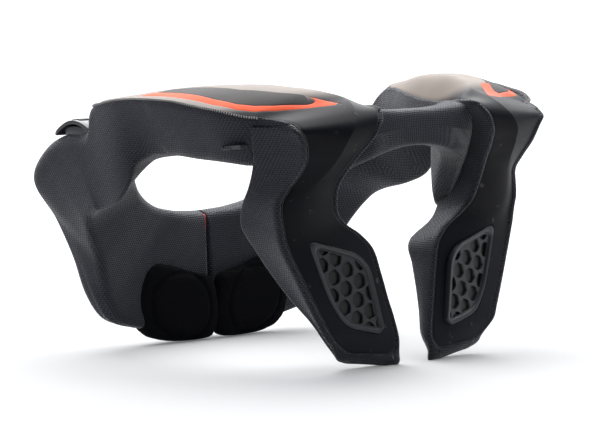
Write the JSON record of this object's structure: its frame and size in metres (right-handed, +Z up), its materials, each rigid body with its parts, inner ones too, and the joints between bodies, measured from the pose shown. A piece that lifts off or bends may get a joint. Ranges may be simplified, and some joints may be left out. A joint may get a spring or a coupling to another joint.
{
  "type": "motocross neck brace",
  "caption": "Neck protection collar with hard shells over padded shoulders, rear struts with vent grilles, a padded nape bridge and front chest plates with soft pads.",
  "frame": {"origin": "middle of the footprint, on the surface that the brace stands on", "axes": "+Z up, the wearer faces -Y, the wearer's left side is +X"},
  "size_m": [0.3142, 0.2505, 0.1904],
  "materials": {
    "shell": "satin dark slate with a light taupe upper face and an orange stripe",
    "fabric": "charcoal knit with a diagonal dash weave",
    "chest_fabric": "charcoal fine rib knit",
    "rubber": "matte near-black",
    "vent": "glossy dark moulded honeycomb",
    "clip": "satin dark moulded",
    "tab": "red webbing"
  },
  "bodies": {
    "root": {"left_shell": "shell", "right_shell": "shell", "left_strut_pad": "fabric", "right_strut_pad": "fabric", "left_shoulder_pad": "fabric", "right_shoulder_pad": "fabric", "left_chest_plate": "chest_fabric", "right_chest_plate": "chest_fabric", "left_chest_pad": "rubber", "right_chest_pad": "rubber", "left_vent": "vent", "right_vent": "vent", "rear_bridge": "fabric", "left_strap_clip": "clip", "left_adjuster_tongue": "clip", "release_tab": "tab"}
  },
  "joints": []
}
